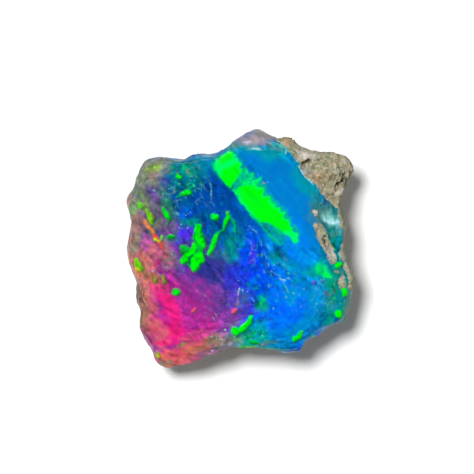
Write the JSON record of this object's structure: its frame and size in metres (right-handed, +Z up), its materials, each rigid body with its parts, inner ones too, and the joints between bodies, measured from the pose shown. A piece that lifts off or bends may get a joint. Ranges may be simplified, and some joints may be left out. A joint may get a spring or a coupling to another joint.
{
  "type": "rough opal",
  "caption": "Flat, irregular piece of rough opal with a smooth upper face, broken sides and sandy host rock on its right-hand edge, a knob and its underside.",
  "frame": {"origin": "centre of the stone's footprint, on the flat break of the underside that it rests on", "axes": "+Z up through the thickness, +Y along the longest extent towards the pointed end, +X towards the edge with the host rock and the knob"},
  "size_m": [0.0228, 0.024, 0.0082],
  "materials": {
    "opal": "glossy opal with blue, green and magenta play of colour, and matt sandy host rock"
  },
  "bodies": {
    "root": {"opal_stone": "opal"}
  },
  "joints": []
}
